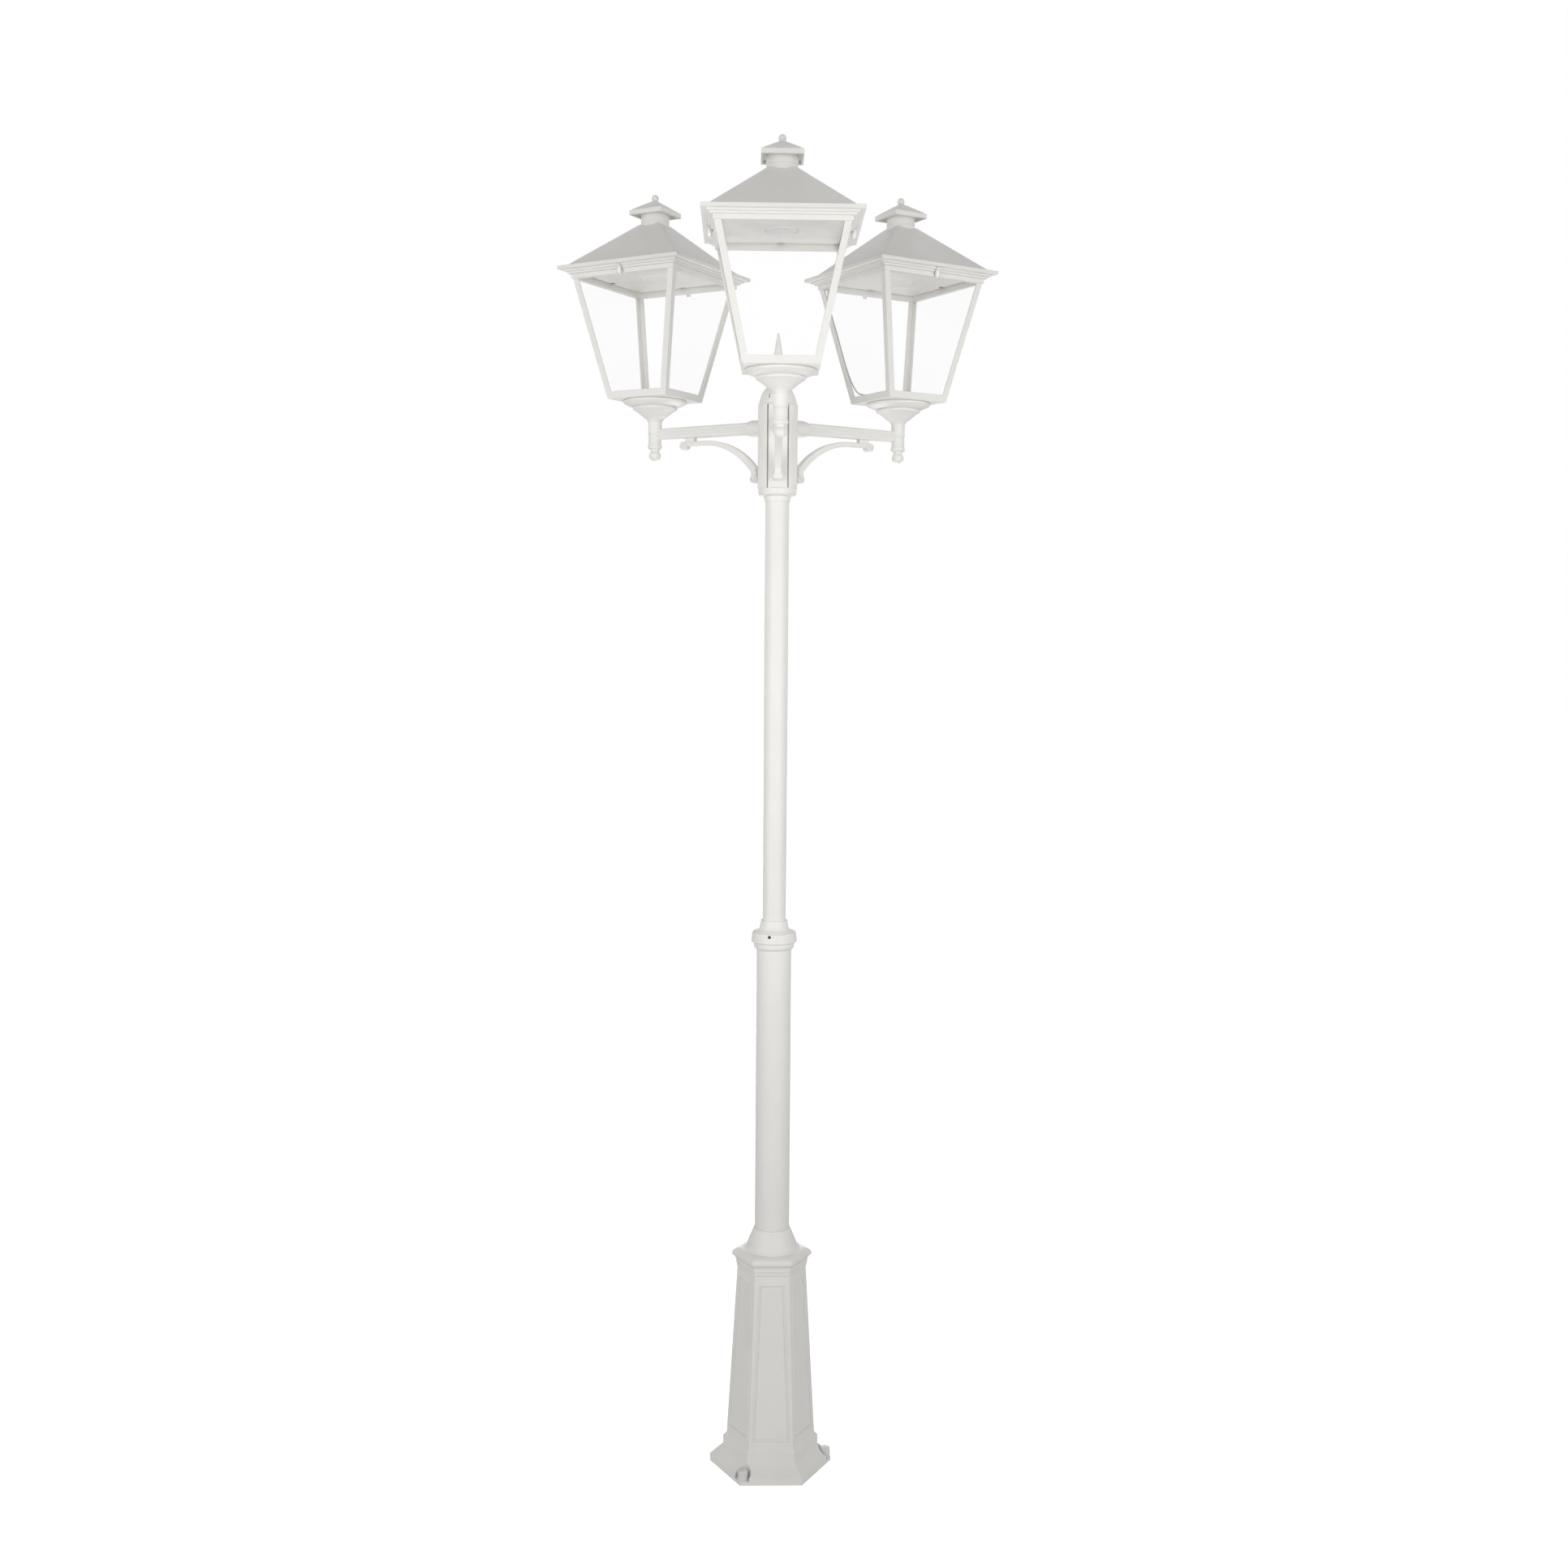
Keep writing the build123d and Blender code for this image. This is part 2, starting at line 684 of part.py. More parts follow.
def hub_spike():
    foot = dome_z + dome_height
    body = turned(
        (0, foot), (spike_base_radius, foot), (spike_base_radius, foot + 2),
        (spike_base_radius - 1.5, foot + spike_collar_height),
        (spike_tip_radius + 0.4, foot + spike_height - 3),
        ((spike_tip_radius * 0.8, foot + spike_height - 1), (pole_flat, foot + spike_height)),
        (0, foot + spike_height))
    return body + rod(spike_stud_radius - 0.15, foot - spike_stud_length + 4, foot)


# ---- arms: made along +X, then turned into place ----
def arm_section(height, width, out):
    """Rounded section of the arm at a distance from the pole's axis."""
    face = Plane(origin=(out, 0, arm_z), x_dir=(0, 1, 0), z_dir=(1, 0, 0))
    return face * RectangleRounded(width, height, arm_edge_round)


def arm_bar():
    tip = arm_reach - pipe_radius / 2
    bar = loft([arm_section(arm_root_height, arm_root_width, plate_face),
                arm_section(arm_tip_height, arm_tip_width, tip)], ruled=True)
    root = plate_face + arm_collar_length + arm_second_collar_length
    length = arm_reach - root
    narrowing = (arm_root_width - arm_tip_width) / 2
    lean = math.degrees(math.atan(narrowing / (tip - plate_face)))
    for side in (-1, 1):
        for level in (-0.5, 0.5):
            groove = Box(length, 2 * arm_groove_depth, arm_groove_width, align=FROM_LEFT)
            start = arm_root_width / 2 - narrowing * (root - plate_face) / (tip - plate_face)
            place = Pos(root, side * start, arm_z + level * arm_groove_spacing) * Rot(0, 0, -side * lean)
            bar -= place * groove
    return bar


def arm():
    plate_low = plate_bottom_z()
    plate_high = hub_top_z - plate_top_gap
    plate = Pos(plate_face - plate_thickness, 0, plate_low) * Box(
        plate_thickness, plate_width, plate_high - plate_low, align=(Align.MIN, Align.CENTER, Align.MIN))
    tongue_low = tongue_bottom_z() + 0.5
    plate += Pos(0, 0, tongue_low) * extrude(tongue_face(0), plate_high - tongue_low)
    body = plate + arm_bar()
    first = lying(rod(arm_collar_radius, plate_face, plate_face + arm_collar_length))
    second = lying(rod(arm_second_collar_radius, plate_face,
                       plate_face + arm_collar_length + arm_second_collar_length))
    body += Pos(0, 0, arm_z) * (first + second)
    body += Pos(arm_reach, 0, 0) * socket_pipe()
    inside = pipe_radius - pipe_wall
    body -= Pos(arm_reach, 0, 0) * rod(inside, pipe_bottom_z - 1, pipe_top_z + 1)
    bore_start = plate_face - plate_thickness - tongue_depth - 1
    body -= Pos(bore_start, 0, arm_z) * lying(
        Cylinder(arm_wire_bore_radius, arm_reach - bore_start, align=FROM_BELOW))
    return body


def socket_pipe():
    """Upright pipe with a thicker head, turned grooves and a bulge at its lower end."""
    groove_top = pipe_top_z - pipe_groove_drop
    groove_low = groove_top - pipe_groove_width
    groove_radius = pipe_radius - pipe_groove_depth
    line_top = pipe_top_z - pipe_line_drop
    line_low = line_top - pipe_line_width
    line_radius = pipe_radius - pipe_line_depth
    bulge_top = pipe_bottom_z + pipe_bulge_height
    return turned(
        (0, pipe_bottom_z), (pipe_radius - 1, pipe_bottom_z),
        ((pipe_bulge_radius, pipe_bottom_z + pipe_bulge_height / 2), (pipe_radius, bulge_top)),
        (pipe_radius, line_low), (line_radius, line_low), (line_radius, line_top), (pipe_radius, line_top),
        (pipe_radius, groove_low), (groove_radius, groove_low), (groove_radius, groove_top),
        (pipe_head_radius, groove_top), (pipe_head_radius, pipe_top_z), (0, pipe_top_z))


def socket_finial():
    neck_low = pipe_bottom_z - finial_neck_height
    half = finial_ball_radius * finial_ball_squash
    centre = neck_low - half + 1.5
    join = finial_neck_radius * 0.8
    lift = half * math.sqrt(1 - (join / finial_ball_radius) ** 2)
    ball = turned(
        (0, centre + lift), (join, centre + lift),
        ((finial_ball_radius, centre), (finial_ball_radius * 0.5, centre - half * 0.866)),
        ((finial_ball_radius * 0.26, centre - half * 0.966), (pole_flat, centre - half)),
        (0, centre - half))
    neck = turned(
        (0, centre + lift - 1), (join, centre + lift - 1), (finial_neck_radius, neck_low + 2),
        (finial_neck_radius, pipe_bottom_z), (0, pipe_bottom_z))
    plug = rod(pipe_radius - pipe_wall - spigot_clearance, pipe_bottom_z, pipe_bottom_z + finial_plug_length)
    return Pos(arm_reach, 0, 0) * (ball + neck + plug)


def socket_finials():
    return Compound(children=[Rot(0, 0, angle) * socket_finial() for angle in arm_angles.values()])


# ---- scroll brace, drawn in the XZ plane with the arm along +X ----
def brace_point(angle, offset):
    """Point on the arc, an angle back from the crest and an offset outwards."""
    turn = math.radians(90 + angle)
    radius = brace_arc_radius + offset
    centre_z = arm_z - brace_drop - brace_arc_radius
    return brace_crest + radius * math.cos(turn), centre_z + radius * math.sin(turn)


def brace():
    root, tip = brace_root_thickness / 2, brace_tip_thickness / 2
    middle = (root + tip) / 2
    far = brace_root_angle
    outer_x = brace_crest + brace_tip_run
    crest_z = arm_z - brace_drop
    outer_eye = (outer_x, crest_z + tip - outer_scroll_radius + scroll_proud)
    inner_eye = (inner_scroll_out, arm_z - inner_scroll_drop)
    edges = [
        ThreePointArc(brace_point(far, root), brace_point(far / 2, middle), brace_point(0, tip)),
        Line(brace_point(0, tip), (outer_x, crest_z + tip)),
        Line((outer_x, crest_z + tip), (outer_x, crest_z - tip)),
        Line((outer_x, crest_z - tip), brace_point(0, -tip)),
        ThreePointArc(brace_point(0, -tip), brace_point(far / 2, -middle), brace_point(far, -root)),
        Line(brace_point(far, -root), brace_point(far, root))]
    solid = bevelled(make_face(edges))
    solid += bevelled(inner_link(inner_eye))
    solid += scroll(outer_eye, outer_scroll_radius)
    solid += scroll(inner_eye, inner_scroll_radius)
    boss = Pos(plate_face, 0, inner_eye[1]) * Box(
        inner_eye[0] - inner_scroll_radius * 0.6 - plate_face, brace_boss_size, brace_boss_size, align=FROM_LEFT)
    block_low = crest_z + tip - 1
    arm_under = arm_root_height / 2 - (arm_root_height - arm_tip_height) / 2 * (
        brace_block_start - plate_face) / (arm_reach - plate_face)
    block = Pos(brace_block_start, 0, block_low) * Box(
        brace_block_length, brace_block_width, arm_z - arm_under - block_low - 0.1,
        align=(Align.MIN, Align.CENTER, Align.MIN))
    solid += boss
    solid += block
    return solid


def scroll(eye, radius):
    """Round end of the bar, wider than it, with a button in each face."""
    half = scroll_width / 2
    drum = turned(
        (0, -half), (scroll_button_radius, -half), (scroll_button_radius, scroll_eye_depth - half),
        (scroll_eye_radius, scroll_eye_depth - half), (scroll_eye_radius, -half),
        (radius - scroll_edge, -half), (radius, scroll_edge - half), (radius, half - scroll_edge),
        (radius - scroll_edge, half), (scroll_eye_radius, half), (scroll_eye_radius, half - scroll_eye_depth),
        (scroll_button_radius, half - scroll_eye_depth), (scroll_button_radius, half), (0, half))
    return Pos(eye[0], 0, eye[1]) * Rot(90, 0, 0) * drum


def bevelled(face):
    """Extrudes a face of the XZ plane to the brace's width and bevels its rims."""
    solid = extrude(Plane.XZ * face, brace_width / 2, both=True)
    rims = solid.faces().filter_by(Axis.Y).edges()
    return chamfer(rims, brace_bevel / 2, brace_bevel)


def inner_link(eye):
    """Web that carries the bar's lower end into its scroll."""
    upper = brace_point(brace_root_angle, brace_root_thickness / 2)
    lower = brace_point(brace_root_angle, -brace_root_thickness / 2)
    left = (eye[0] - inner_scroll_radius * 0.85, eye[1] + 1)
    right = (eye[0] + inner_scroll_radius * 0.85, eye[1] + 1)
    return make_face(Polyline(upper, lower, right, left, close=True))


# ---- lantern: made about its own axis, arm coming in from -X ----
def cup():
    bead_z = cup_waist_height + cup_lower_bead_height
    lower_bead = (cup_lower_bead_radius, cup_waist_height + cup_lower_bead_height / 2)
    upper_bead = (cup_upper_bead_radius, cup_bead_z + cup_upper_bead_height / 2)
    inner_bead = cup_upper_bead_radius - 3
    body = turned(
        (0, 0), (cup_neck_radius, 0), (cup_neck_radius, 1.5),
        ((cup_cone_radius * 0.76, cup_cone_height * 0.6), (cup_cone_radius, cup_cone_height)),
        ((cup_bowl_radius, cup_bowl_height), (cup_waist_radius, cup_waist_height)),
        (cup_lower_bead_radius - 2, cup_waist_height),
        (lower_bead, (cup_lower_bead_radius - 2, bead_z)),
        (cup_lower_bead_radius - 2.5, bead_z + 0.8),
        ((cup_ogee_radius, bead_z + cup_ogee_height * 0.42), (inner_bead, cup_bead_z)),
        (upper_bead, (inner_bead, tray_z)), (0, tray_z))
    body += rod(pipe_radius - pipe_wall - spigot_clearance, -cup_spigot_length, 0)
    return body - rod(cup_wire_bore_radius, -cup_spigot_length - 1, tray_z + 1)


def post_half_at(z):
    """Half width across the outer faces of the posts at a height."""
    share = (z - tray_top_z) / post_height
    return post_foot_half + (post_head_half - post_foot_half) * share


def corner_post():
    sections = []
    for half, z in ((post_foot_half, tray_top_z), (post_head_half, rail_z)):
        inner = half - post_thickness
        end = half - post_leg
        outline = Polyline((half, half), (end, half), (end, inner), (inner, inner),
                           (inner, end), (half, end), close=True)
        sections.append(Pos(0, 0, z) * make_face(outline))
    return loft(sections, ruled=True)


def roof_ear():
    start = rail_half - 1
    length = latch_offset + ear_overhang - start
    ear = Pos(0, start, ear_top_z - ear_height) * Box(
        ear_width, length, ear_height, align=(Align.CENTER, Align.MIN, Align.MIN))
    shank = latch_shank_radius + latch_shank_clearance
    return ear - Pos(0, latch_offset, 0) * rod(shank, rail_z, rail_top_z)


def lantern_frame():
    tray = square_taper(tray_half, post_foot_half, tray_z, tray_top_z)
    tray = fillet(tray.edges().group_by(Axis.Z)[0], tray_edge_round)
    frame = tray + square_ring(rail_half, rail_half - rail_width, rail_z, rail_top_z)
    for post in around(corner_post(), 4):
        frame += post
    for ear in around(roof_ear(), 2):
        frame += ear
    return frame - rod(cable_radius + cable_hole_clearance, tray_z - 1, tray_top_z + 1)


def panes():
    """Four clear panes that lean against the insides of the corner posts."""
    inset = post_thickness + pane_clearance
    edge = inset + pane_thickness + pane_clearance
    low_z = tray_top_z + 0.2
    high_z = rail_z - pane_clearance
    sections = []
    for z in (low_z, high_z):
        outer = post_half_at(z) - inset
        width = 2 * (post_half_at(z) - edge)
        sections.append(Pos(0, -outer + pane_thickness / 2, z) * Rectangle(width, pane_thickness))
    pane = loft(sections, ruled=True)
    return Compound(children=around(pane, 4))


def cable_points():
    """Route from the tray's hole, in a loose bow, to one corner post and up it."""
    z = tray_top_z
    points = [(0, 0, z - 16), (0, 0, z + 15)]
    for out, across, rise in ((-0.31, 0.2, 12), (-0.58, 0.47, 6), (-0.76, 0.7, 17)):
        points.append((out * post_foot_half, across * post_foot_half, z + rise))
    climb = ((0.19, -1.8), (0.36, 0.6), (0.57, -0.8), (0.78, 0.7), (0.94, -0.6))
    for share, shift in climb:
        height = share * post_height
        at = post_half_at(z + height) - cable_post_offset
        points.append((-at, at + shift, z + height))
    end = ceiling_half - 2.0
    points.append((-end, end - 0.5, ceiling_z + cable_top_rise))
    return points


def smooth_path(points):
    """Straight runs joined by the largest tangent arcs that they allow."""
    radii = []
    for before, here, after in zip(points, points[1:], points[2:]):
        incoming = Vector(*here) - Vector(*before)
        outgoing = Vector(*after) - Vector(*here)
        turn = math.radians(incoming.get_angle(outgoing))
        run = min(incoming.length, outgoing.length)
        radii.append(0.45 * run / math.tan(turn / 2))
    return FilletPolyline(*points, radius=radii), radii


def cable():
    path, radii = smooth_path(cable_points())
    start = path @ 0
    section = Plane(origin=start, z_dir=path % 0) * Circle(cable_radius)
    solid = sweep(section, path=path)
    expected = math.pi * cable_radius ** 2 * path.length
    print("cable length", round(path.length, 1), "volume share", round(solid.volume / expected, 4))
    print("cable radii", [round(r, 1) for r in radii])
    return solid


def latch_screw():
    top = ear_top_z - ear_height - latch_head_gap
    head = rod(latch_head_radius, top - latch_head_height, top)
    head = fillet(head.edges().group_by(Axis.Z)[0], 1.5)
    for groove in around(Pos(latch_head_radius, 0, 0) * rod(latch_knurl_radius, top - latch_head_height, top),
                         latch_knurl_count):
        head -= groove
    return head + rod(latch_shank_radius, top, top + latch_shank_height)


# ---- roof and what it carries ----
def roof():
    outside = square_taper(roof_foot_half, roof_top_half, roof_z, roof_top_z)
    inner_rise = roof_top_z - roof_wall - roof_z
    inner_foot = roof_foot_half - roof_wall / roof_slope
    inner_top = inner_foot - inner_rise / roof_slope
    shell = outside - square_taper(inner_foot, inner_top, roof_z, roof_z + inner_rise)
    shell += eased_ring(lip_half, rail_half - lip_seat, rail_top_z, roof_z)
    for i in range(tier_count):
        outer = rail_half + tier_clearance + tier_step * (i + 1)
        high = rail_top_z - tier_height * (tier_count - 1 - i)
        shell += eased_ring(outer, rail_half + tier_clearance, high - tier_height, high)
    low = rail_top_z - tier_count * tier_height
    notch = Pos(0, notch_floor_half, low) * Box(
        notch_width, lip_half, tier_count * tier_height, align=(Align.CENTER, Align.MIN, Align.MIN))
    tunnel = Pos(0, rail_half, low) * Box(
        notch_width, notch_floor_half - rail_half + 1, tier_count * tier_height,
        align=(Align.CENTER, Align.MIN, Align.MIN))
    thread = Pos(0, latch_offset, 0) * rod(
        latch_shank_radius + latch_shank_clearance, rail_top_z - 1, roof_z - lip_skin)
    for turn in (0, 180):
        for cut in (notch, tunnel, thread):
            shell -= Rot(0, 0, turn) * cut
    shell += rod(vent_pad_radius, roof_top_z - vent_pad_depth - roof_wall, roof_top_z) & outside
    shell -= rod(vent_bore_radius, roof_z, roof_top_z + 1)
    shell -= rod(vent_radius + slip_clearance, vent_seat_z, roof_top_z + 1)
    return shell


def roof_bosses(axis_turn):
    """Two posts under the roof that hold the ceiling plate."""
    top = roof_z + (roof_foot_half - boss_offset) * roof_slope - roof_wall / 2
    boss = Pos(boss_offset, 0, 0) * (
        rod(boss_radius, ceiling_top_z, top) - rod(boss_screw_radius, ceiling_top_z - 1, ceiling_top_z + 16))
    return around(boss, 2, axis_turn)


def vent_collar():
    joint = vent_seat_z + vent_joint_height
    depth = vent_radius - vent_joint_depth
    return turned(
        (vent_radius - vent_wall, vent_seat_z), (vent_radius, vent_seat_z), (vent_radius, joint),
        (depth, joint + 0.6), (depth, joint + 1.4), (vent_radius, joint + 2),
        (vent_radius, vent_top_z), (vent_radius - vent_wall, vent_top_z))


def vent_cap():
    top = vent_cap_z + vent_cap_fascia
    fascia = slab(vent_cap_half, vent_cap_z, top)
    fascia = fillet(fascia.edges().filter_by(Axis.Z), vent_cap_round)
    step_top = top + vent_step_height
    apex = step_top + vent_pyramid_height
    cap = fascia + square_taper(vent_step_half, vent_step_top_half, top, step_top)
    cap += square_taper(vent_step_top_half, vent_pyramid_top_half, step_top, apex)
    centre = apex + vent_ball_radius - vent_ball_sink
    cap += turned(
        (0, apex - vent_ball_sink - 1), (vent_ball_radius * 0.5, apex - vent_ball_sink - 1),
        (vent_ball_radius * 0.5, centre - vent_ball_radius * 0.866),
        ((vent_ball_radius, centre), (pole_flat, centre + vent_ball_radius)),
        (0, centre + vent_ball_radius))
    cap -= slab(vent_cap_half - vent_cap_wall, vent_cap_z - 1, vent_cap_z + vent_cap_hollow)
    return cap - rod(vent_radius + slip_clearance, vent_cap_z - 1, vent_top_z)


def ceiling_plate(axis_turn):
    plate = slab(ceiling_half, ceiling_z, ceiling_top_z)
    slot = Pos(ceiling_half, 0, ceiling_z) * Box(
        2 * ceiling_slot_depth, ceiling_slot_length, ceiling_thickness, align=FROM_BELOW)
    for cut in around(slot, 4):
        plate -= cut
    corner = Pos(-ceiling_half, ceiling_half, ceiling_z) * Rot(0, 0, 45) * Box(
        math.sqrt(2) * ceiling_corner_cut, math.sqrt(2) * ceiling_corner_cut, ceiling_thickness, align=FROM_BELOW)
    plate -= corner
    hole = Pos(boss_offset, 0, 0) * rod(boss_screw_radius, ceiling_z - 1, ceiling_top_z + 1)
    for cut in around(hole, 2, axis_turn):
        plate -= cut
    return plate - rod(light_opening_radius, ceiling_z - 1, ceiling_top_z + 1)


def led_ring():
    low = ceiling_z - bezel_height
    window = bezel_window_radius
    rebate = lens_flange_radius + light_clearance
    seat = ceiling_z - lens_flange_height - light_clearance
    return turned(
        (window, low), (bezel_radius - 1.5, low), (bezel_radius, low + 1.5), (bezel_radius, ceiling_z),
        (rebate, ceiling_z), (rebate, seat), (window, seat))


def led_lens():
    low = ceiling_z - lens_depth
    flange = ceiling_z - lens_flange_height
    window = bezel_window_radius - light_clearance
    return turned(
        (0, low), (window - 1.5, low), (window, low + 0.6), (window, flange),
        (lens_flange_radius, flange), (lens_flange_radius, ceiling_z), (0, ceiling_z))


def led_heat_sink():
    base_top = ceiling_top_z + heat_sink_base
    sink = rod(heat_sink_radius, ceiling_top_z, ceiling_top_z + heat_sink_height)
    pitch = 2 * heat_sink_radius / heat_sink_fins
    for i in range(1, heat_sink_fins):
        x = -heat_sink_radius + i * pitch
        sink -= Pos(x, 0, base_top) * Box(
            heat_sink_gap, 2 * heat_sink_radius + 2, heat_sink_height, align=FROM_BELOW)
    board = rod(light_opening_radius - light_clearance, ceiling_top_z - light_board_drop, ceiling_top_z)
    return sink + board


def led_driver():
    box = Pos(-driver_offset, 0, ceiling_top_z) * Box(
        driver_width, driver_length, driver_height, align=FROM_BELOW)
    return fillet(box.edges().filter_by(Axis.Z), driver_round)


# ---- assembly ----
def on_arm(shape, angle):
    """Puts a lantern piece on top of the pipe of the arm at an angle."""
    return Rot(0, 0, angle) * Pos(arm_reach, 0, pipe_top_z) * shape


def build():
    pieces = {
        "base_pedestal": base_pedestal(),
        "anchor_nuts": Compound(children=around(anchor_nut(), anchor_count)),
        "anchor_caps": Compound(children=around(anchor_cap(), anchor_count)),
        "lower_tube": lower_tube(),
        "collar": collar(),
        "collar_screws": collar_screws(),
        "upper_tube": upper_tube(),
        "hub_body": hub_body(),
        "hub_cap": hub_cap(),
        "hub_spike": hub_spike(),
        "socket_finials": socket_finials()}
    arm_shape = arm()
    brace_shape = brace()
    shared = {
        "cup": cup(), "frame": lantern_frame(), "panes": panes(), "cable": cable(),
        "vent_collar": vent_collar(), "vent_cap": vent_cap(), "led_ring": led_ring(),
        "led_lens": led_lens(), "led_heat_sink": led_heat_sink(), "led_driver": led_driver()}
    roof_shape = roof()
    screw = latch_screw()
    for side, angle in arm_angles.items():
        pieces[f"arm_{side}"] = Rot(0, 0, angle) * arm_shape
        pieces[f"brace_{side}"] = Rot(0, 0, angle) * brace_shape
        for name, shape in shared.items():
            pieces[f"{name}_{side}"] = on_arm(shape, angle)
        boss_turn = 90 if side == "front" else 0
        full_roof = roof_shape
        for boss in roof_bosses(boss_turn):
            full_roof = full_roof + boss
        pieces[f"roof_{side}"] = on_arm(full_roof, angle)
        pieces[f"ceiling_plate_{side}"] = on_arm(ceiling_plate(boss_turn), angle)
        for label, turn in (("a", 1), ("b", -1)):
            placed = Pos(0, turn * latch_offset, 0) * screw
            pieces[f"roof_screw_{label}_{side}"] = on_arm(placed, angle)
    return pieces


def main():
    os.makedirs("parts", exist_ok=True)
    for node, shape in build().items():
        export_step(shape, f"parts/{node}.step")


if __name__ == "__main__":
    main()
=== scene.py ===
import bpy
import math
from mathutils import Matrix, Vector


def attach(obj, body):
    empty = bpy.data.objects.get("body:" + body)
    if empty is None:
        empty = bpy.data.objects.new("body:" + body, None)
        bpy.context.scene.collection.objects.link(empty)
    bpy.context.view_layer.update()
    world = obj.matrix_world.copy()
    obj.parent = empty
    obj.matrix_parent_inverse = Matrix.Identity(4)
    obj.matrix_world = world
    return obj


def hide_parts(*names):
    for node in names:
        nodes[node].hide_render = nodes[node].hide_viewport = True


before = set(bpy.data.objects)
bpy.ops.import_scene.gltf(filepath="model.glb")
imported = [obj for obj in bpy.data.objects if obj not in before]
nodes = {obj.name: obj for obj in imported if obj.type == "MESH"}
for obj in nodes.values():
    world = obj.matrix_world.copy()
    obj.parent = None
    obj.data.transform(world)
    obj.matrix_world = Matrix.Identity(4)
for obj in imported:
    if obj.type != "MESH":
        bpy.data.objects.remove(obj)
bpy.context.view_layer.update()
print("frame loaded:", len(nodes), "nodes")

sides = {"front": -90.0, "right": 30.0, "left": 150.0}   # each arm's angle round the pole
white = (1.0, 1.0, 1.0, 1.0)


def turnAbout(degrees, axis):
    return Matrix.Rotation(math.radians(degrees), 4, axis)


def addObject(name, data):
    made = bpy.data.objects.new(name, data)
    bpy.context.scene.collection.objects.link(made)
    return made


def deselectAll():
    if bpy.context.object and bpy.context.object.mode != "OBJECT":
        bpy.ops.object.mode_set(mode="OBJECT")
    bpy.ops.object.select_all(action="DESELECT")


# The camera stands in front of the pole, two thirds of the way up, and looks slightly down.
cameraValues = {
    "place": (-0.0697, -4.3481, 2.1765),
    "yaw": -1.216, "pitch": -4.952, "roll": 0.448,
    "lens": 39.122, "sensor": 36.0, "near": 0.05, "far": 60.0}


def makeCamera(values):
    data = bpy.data.cameras.new("camera")
    data.sensor_width, data.lens = values["sensor"], values["lens"]
    data.clip_start, data.clip_end = values["near"], values["far"]
    camera = addObject("camera", data)
    turn = (turnAbout(values["yaw"], "Z") @ turnAbout(90 + values["pitch"], "X")
            @ turnAbout(values["roll"], "Z"))
    camera.matrix_world = Matrix.Translation(values["place"]) @ turn
    bpy.context.scene.camera = camera


class Link:
    # an output socket that can be used in plain arithmetic
    def __init__(self, paint, socket):
        self.paint, self.socket = paint, socket

    def __add__(self, other): return self.paint.maths("ADD", self, other)
    def __radd__(self, other): return self.paint.maths("ADD", other, self)
    def __sub__(self, other): return self.paint.maths("SUBTRACT", self, other)
    def __rsub__(self, other): return self.paint.maths("SUBTRACT", other, self)
    def __mul__(self, other): return self.paint.maths("MULTIPLY", self, other)
    def __rmul__(self, other): return self.paint.maths("MULTIPLY", other, self)


class Paint:
    # the nodes of one material, or of the world
    def __init__(self, owner):
        self.owner = owner
        owner.use_nodes = True
        self.tree = owner.node_tree
        self.tree.nodes.clear()

    def node(self, kind, settings, *values, out=0):
        # values fill the sockets in order, and a last dictionary those that it names
        made = self.tree.nodes.new(kind)
        for key, value in settings.items():
            setattr(made, key, value)
        named = {}
        if values and isinstance(values[-1], dict):
            *values, named = values
        for key, value in [*enumerate(values), *named.items()]:
            if isinstance(value, Link):
                self.tree.links.new(value.socket, made.inputs[key])
            elif value is not None:
                made.inputs[key].default_value = value
        return Link(self, made.outputs[out]) if made.outputs else None

    def maths(self, operation, *values):
        return self.node("ShaderNodeMath", {"operation": operation}, *values)

    def place(self, kind="Object"):
        return self.node("ShaderNodeTexCoord", {}, out=kind)

    def ray(self, kind):
        return self.node("ShaderNodeLightPath", {}, out=kind)

    def noise(self, place, scale, detail, roughness):
        return self.node("ShaderNodeTexNoise", {}, {
            "Vector": place, "Scale": scale, "Detail": detail, "Roughness": roughness})

    def ramp(self, value, low, high, to=(0.0, 1.0)):
        return self.node("ShaderNodeMapRange", {}, value, low, high, *to)

    def blend(self, share, first, second):
        # a colour mix has its factor at socket 0, its colours at 6 and 7 and its result at 2
        return self.node("ShaderNodeMix", {"data_type": "RGBA"},
                         {0: share, 6: first, 7: second}, out=2)

    def bump(self, height, distance, under=None):
        return self.node("ShaderNodeBump", {}, {
            "Height": height, "Distance": distance, "Normal": under})

    def surface(self, sockets):
        shader = self.node("ShaderNodeBsdfPrincipled", {}, sockets)
        self.node("ShaderNodeOutputMaterial", {}, {"Surface": shader})
        return self.owner


def grey(level, warm=0.0):
    return (level * (1 + warm), level, level * (1 - 2 * warm), 1.0)


# A noise is given as its scale, detail and roughness, and varies about this level.
noiseMean = 0.5

coatValues = {
    "colour": grey(0.87, 0.017), "shade": grey(0.83, 0.020), "shadeRange": (0.35, 0.75),
    "cloud": (5.0, 3.0, 0.55), "grain": (1500.0, 2.0, 0.6), "peel": (420.0, 1.0, 0.4),
    "grainHeight": 0.00006, "peelHeight": 0.00010,
    "roughness": 0.46, "grainSwing": 0.16, "cloudSwing": 0.08,
    "edge": 0.0011, "edgeSamples": 6}
castCoatValues = dict(coatValues, edge=0.0032)   # the pedestal's cast edges are softer


